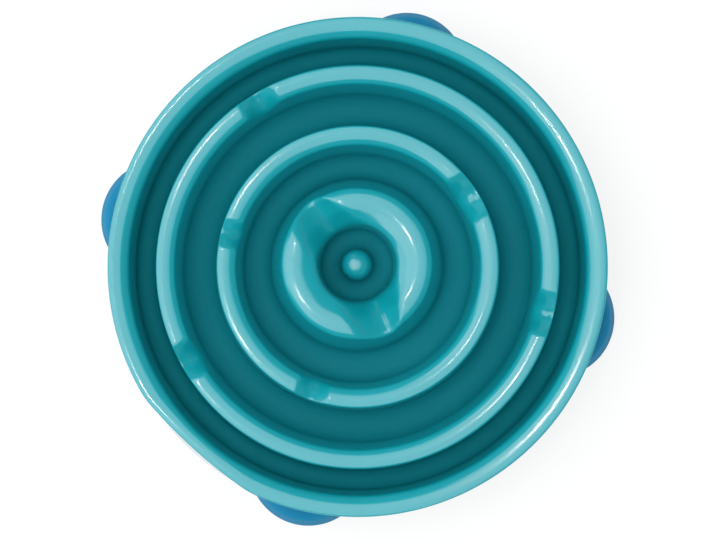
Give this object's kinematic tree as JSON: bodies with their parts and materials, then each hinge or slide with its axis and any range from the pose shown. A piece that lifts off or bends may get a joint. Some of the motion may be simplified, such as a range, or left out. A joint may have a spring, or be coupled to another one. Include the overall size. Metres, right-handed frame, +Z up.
{
  "type": "slow feeder bowl",
  "caption": "Round slow feeder bowl for a dog: a glossy hollow plastic moulding with dipped ring ridges around a centre post, standing on rubber feet.",
  "frame": {"origin": "on the table under the centre of the bowl", "axes": "+Z up, +X to the right and +Y to the top of the picture taken from above"},
  "size_m": [0.285, 0.285, 0.057],
  "materials": {
    "bowl_plastic": "glossy teal polypropylene, injection moulded",
    "foot_rubber": "satin blue thermoplastic rubber, moulded"
  },
  "bodies": {
    "root": {"bowl_moulding": "bowl_plastic", "back_rubber_foot": "foot_rubber", "left_rubber_foot": "foot_rubber", "front_rubber_foot": "foot_rubber", "right_rubber_foot": "foot_rubber"}
  },
  "joints": []
}
